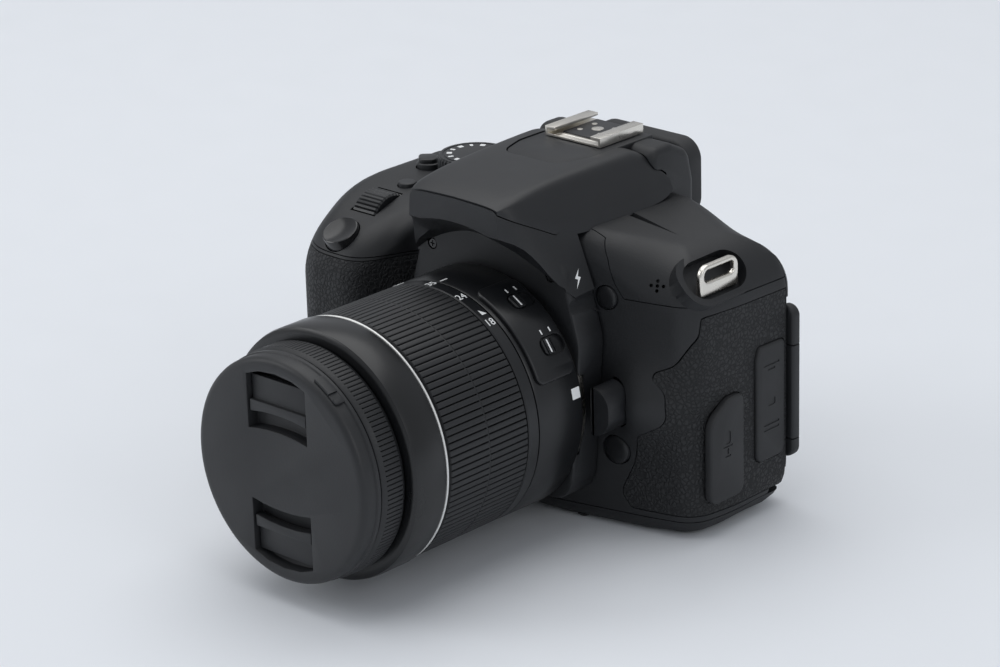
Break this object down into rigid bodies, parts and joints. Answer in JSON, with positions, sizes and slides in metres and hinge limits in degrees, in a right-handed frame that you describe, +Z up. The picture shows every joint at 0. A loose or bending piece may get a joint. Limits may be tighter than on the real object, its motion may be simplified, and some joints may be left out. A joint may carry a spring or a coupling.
{
  "type": "dslr camera",
  "caption": "Single-lens reflex camera with hand grip, pop-up flash, swing-out screen and a capped standard zoom lens.",
  "frame": {"origin": "on the flat base, straight below the point where the optical axis meets the film plane", "axes": "+X towards the terminal side, -Y towards the subject along the lens, +Y towards the user, +Z up"},
  "size_m": [0.1324, 0.1466, 0.0995],
  "materials": {
    "body_plastic": "fine moulded grain, satin",
    "leather_rubber": "leather grain, matt",
    "soft_rubber": "smooth, matt",
    "ribbed_rubber": "ribbed, matt",
    "cap_plastic": "spark-eroded face, satin",
    "button_plastic": "satin",
    "polished_steel": "polished",
    "dark_casting": "matt black",
    "optical_glass": "coated",
    "front_mirror": "silvered front face",
    "circuit_board": "solder mask"
  },
  "bodies": {
    "camera_body": {"front_cover": "body_plastic", "top_cover": "body_plastic", "bottom_cover": "body_plastic", "rear_cover": "body_plastic", "grip_rubber": "leather_rubber", "side_rubber": "leather_rubber", "hot_shoe": "polished_steel", "strap_lug_terminal_side": "polished_steel", "strap_lug_grip_side": "polished_steel", "lens_mount_ring": "polished_steel", "tripod_socket": "polished_steel", "mirror_box": "dark_casting", "focusing_screen": "optical_glass", "pentamirror": "optical_glass", "eyepiece_lens": "optical_glass", "shutter_unit": "dark_casting", "image_sensor": "optical_glass", "main_board": "circuit_board", "battery": "dark_casting", "lens_barrel": "body_plastic"},
    "flash": {"flash_head": "body_plastic", "flash_window": "optical_glass"},
    "mode_dial": {"mode_dial": "button_plastic"},
    "power_switch": {"power_switch": "button_plastic"},
    "main_dial": {"main_dial": "button_plastic"},
    "dioptre_dial": {"dioptre_dial": "button_plastic"},
    "reflex_mirror": {"reflex_mirror": "front_mirror"},
    "screen": {"screen_hinge": "body_plastic", "screen_panel": "body_plastic"},
    "microphone_port_cover": {"microphone_port_cover": "soft_rubber"},
    "video_port_cover": {"video_port_cover": "soft_rubber"},
    "battery_door": {"battery_door": "body_plastic"},
    "card_door": {"card_door": "body_plastic"},
    "zoom_ring": {"zoom_ring": "ribbed_rubber"},
    "inner_barrel": {"inner_barrel": "body_plastic"},
    "focus_ring": {"focus_ring": "ribbed_rubber", "front_lens_element": "optical_glass"},
    "lens_cap": {"lens_cap": "cap_plastic"},
    "cap_upper_catch": {"cap_upper_catch": "cap_plastic"},
    "cap_lower_catch": {"cap_lower_catch": "cap_plastic"},
    "eyecup": {"eyecup": "soft_rubber"},
    "focus_mode_switch": {"focus_mode_switch": "button_plastic"},
    "stabiliser_switch": {"stabiliser_switch": "button_plastic"},
    "shutter_button": {"shutter_button": "button_plastic"},
    "iso_button": {"iso_button": "button_plastic"},
    "display_button": {"display_button": "button_plastic"},
    "flash_button": {"flash_button": "button_plastic"},
    "depth_preview_button": {"depth_preview_button": "button_plastic"},
    "lens_release_button": {"lens_release_button": "button_plastic"},
    "menu_button": {"menu_button": "button_plastic"},
    "info_button": {"info_button": "button_plastic"},
    "live_view_button": {"live_view_button": "button_plastic"},
    "exposure_lock_button": {"exposure_lock_button": "button_plastic"},
    "focus_point_button": {"focus_point_button": "button_plastic"},
    "aperture_button": {"aperture_button": "button_plastic"},
    "quick_menu_button": {"quick_menu_button": "button_plastic"},
    "playback_button": {"playback_button": "button_plastic"},
    "delete_button": {"delete_button": "button_plastic"},
    "cross_keys": {"cross_keys": "button_plastic"},
    "set_button": {"set_button": "button_plastic"}
  },
  "joints": [
    {"name": "flash_raise", "type": "hinge", "parent": "camera_body", "child": "flash", "pos_m": [0, -0.0015, 0.0968], "axis": [-1, 0, 0], "range_deg": [0, 50]},
    {"name": "mode_dial_turn", "type": "hinge", "parent": "camera_body", "child": "mode_dial", "pos_m": [-0.038, -0.008, 0.082], "axis": [0, 0, 1], "continuous": true},
    {"name": "power_switch_turn", "type": "hinge", "parent": "camera_body", "child": "power_switch", "pos_m": [-0.0538, -0.01, 0.079], "axis": [0, 0, 1], "range_deg": [0, 30]},
    {"name": "main_dial_turn", "type": "hinge", "parent": "camera_body", "child": "main_dial", "pos_m": [-0.05, -0.0336, 0.0706], "axis": [1, 0, 0], "continuous": true},
    {"name": "dioptre_turn", "type": "hinge", "parent": "camera_body", "child": "dioptre_dial", "pos_m": [-0.0222, 0.01, 0.0855], "axis": [-1, 0, 0], "range_deg": [-120, 120]},
    {"name": "mirror_flip", "type": "hinge", "parent": "camera_body", "child": "reflex_mirror", "pos_m": [0, -0.0085, 0.051], "axis": [-1, 0, 0], "range_deg": [0, 45]},
    {"name": "screen_swing", "type": "hinge", "parent": "camera_body", "child": "screen", "pos_m": [0.0586, 0.01125, 0.033], "axis": [0, 0, -1], "range_deg": [0, 175]},
    {"name": "microphone_cover_open", "type": "hinge", "parent": "camera_body", "child": "microphone_port_cover", "pos_m": [0.0586, -0.0234, 0.0248], "axis": [0, 0, -1], "range_deg": [0, 100]},
    {"name": "video_cover_open", "type": "hinge", "parent": "camera_body", "child": "video_port_cover", "pos_m": [0.0586, -0.0042, 0.0329], "axis": [0, 0, -1], "range_deg": [0, 100]},
    {"name": "battery_door_open", "type": "hinge", "parent": "camera_body", "child": "battery_door", "pos_m": [-0.044, -0.025, 0], "axis": [0, -1, 0], "range_deg": [0, 100]},
    {"name": "card_door_open", "type": "hinge", "parent": "camera_body", "child": "card_door", "pos_m": [-0.0716, 0.006, 0.041], "axis": [0, 0, -1], "range_deg": [0, 90]},
    {"name": "zoom_turn", "type": "hinge", "parent": "camera_body", "child": "zoom_ring", "pos_m": [0, -0.044, 0.0374], "axis": [0, -1, 0], "range_deg": [0, 42]},
    {"name": "barrel_extend", "type": "slide", "parent": "camera_body", "child": "inner_barrel", "axis": [0, -1, 0], "range_m": [0, 0.0126]},
    {"name": "focus_turn", "type": "hinge", "parent": "inner_barrel", "child": "focus_ring", "pos_m": [0, -0.044, 0.0374], "axis": [0, -1, 0], "range_deg": [0, 90]},
    {"name": "cap_pull", "type": "slide", "parent": "focus_ring", "child": "lens_cap", "axis": [0, -1, 0], "range_m": [0, 0.03]},
    {"name": "cap_upper_pinch", "type": "slide", "parent": "lens_cap", "child": "cap_upper_catch", "axis": [0, 0, -1], "range_m": [0, 0.002], "stiffness_N_per_m": 300},
    {"name": "cap_lower_pinch", "type": "slide", "parent": "lens_cap", "child": "cap_lower_catch", "axis": [0, 0, 1], "range_m": [0, 0.002], "stiffness_N_per_m": 300},
    {"name": "eyecup_lift", "type": "slide", "parent": "camera_body", "child": "eyecup", "axis": [0, 0, 1], "range_m": [0, 0.012]},
    {"name": "focus_mode_switch_slide", "type": "slide", "parent": "camera_body", "child": "focus_mode_switch", "axis": [0, 1, 0], "range_m": [0, 0.0032]},
    {"name": "stabiliser_switch_slide", "type": "slide", "parent": "camera_body", "child": "stabiliser_switch", "axis": [0, 1, 0], "range_m": [0, 0.0032]},
    {"name": "shutter_button_press", "type": "slide", "parent": "camera_body", "child": "shutter_button", "axis": [0, 0.4695, -0.8829], "range_m": [0, 0.001], "stiffness_N_per_m": 300},
    {"name": "iso_button_press", "type": "slide", "parent": "camera_body", "child": "iso_button", "axis": [0, 0, -1], "range_m": [0, 0.0006], "stiffness_N_per_m": 300},
    {"name": "display_button_press", "type": "slide", "parent": "camera_body", "child": "display_button", "axis": [0, 0, -1], "range_m": [0, 0.0006], "stiffness_N_per_m": 300},
    {"name": "flash_button_press", "type": "slide", "parent": "camera_body", "child": "flash_button", "axis": [0, 1, 0], "range_m": [0, 0.0004], "stiffness_N_per_m": 300},
    {"name": "depth_preview_button_press", "type": "slide", "parent": "camera_body", "child": "depth_preview_button", "axis": [0, 1, 0], "range_m": [0, 0.0008], "stiffness_N_per_m": 300},
    {"name": "lens_release_button_press", "type": "slide", "parent": "camera_body", "child": "lens_release_button", "axis": [0, 1, 0], "range_m": [0, 0.0015], "stiffness_N_per_m": 300},
    {"name": "menu_button_press", "type": "slide", "parent": "camera_body", "child": "menu_button", "axis": [0, -1, 0], "range_m": [0, 0.0005], "stiffness_N_per_m": 300},
    {"name": "info_button_press", "type": "slide", "parent": "camera_body", "child": "info_button", "axis": [0, -1, 0], "range_m": [0, 0.0005], "stiffness_N_per_m": 300},
    {"name": "live_view_button_press", "type": "slide", "parent": "camera_body", "child": "live_view_button", "axis": [0, -1, 0], "range_m": [0, 0.0005], "stiffness_N_per_m": 300},
    {"name": "exposure_lock_button_press", "type": "slide", "parent": "camera_body", "child": "exposure_lock_button", "axis": [0, -1, 0], "range_m": [0, 0.0005], "stiffness_N_per_m": 300},
    {"name": "focus_point_button_press", "type": "slide", "parent": "camera_body", "child": "focus_point_button", "axis": [0, -1, 0], "range_m": [0, 0.0005], "stiffness_N_per_m": 300},
    {"name": "aperture_button_press", "type": "slide", "parent": "camera_body", "child": "aperture_button", "axis": [0, -1, 0], "range_m": [0, 0.0005], "stiffness_N_per_m": 300},
    {"name": "quick_menu_button_press", "type": "slide", "parent": "camera_body", "child": "quick_menu_button", "axis": [0, -1, 0], "range_m": [0, 0.0005], "stiffness_N_per_m": 300},
    {"name": "playback_button_press", "type": "slide", "parent": "camera_body", "child": "playback_button", "axis": [0, -1, 0], "range_m": [0, 0.0005], "stiffness_N_per_m": 300},
    {"name": "delete_button_press", "type": "slide", "parent": "camera_body", "child": "delete_button", "axis": [0, -1, 0], "range_m": [0, 0.0005], "stiffness_N_per_m": 300},
    {"name": "cross_keys_press", "type": "slide", "parent": "camera_body", "child": "cross_keys", "axis": [0, -1, 0], "range_m": [0, 0.0005], "stiffness_N_per_m": 300},
    {"name": "set_button_press", "type": "slide", "parent": "camera_body", "child": "set_button", "axis": [0, -1, 0], "range_m": [0, 0.0005], "stiffness_N_per_m": 300}
  ],
  "couplings": [
    {"joint": "barrel_extend", "follows": "zoom_turn", "m_per_rad": 0.0172}
  ]
}
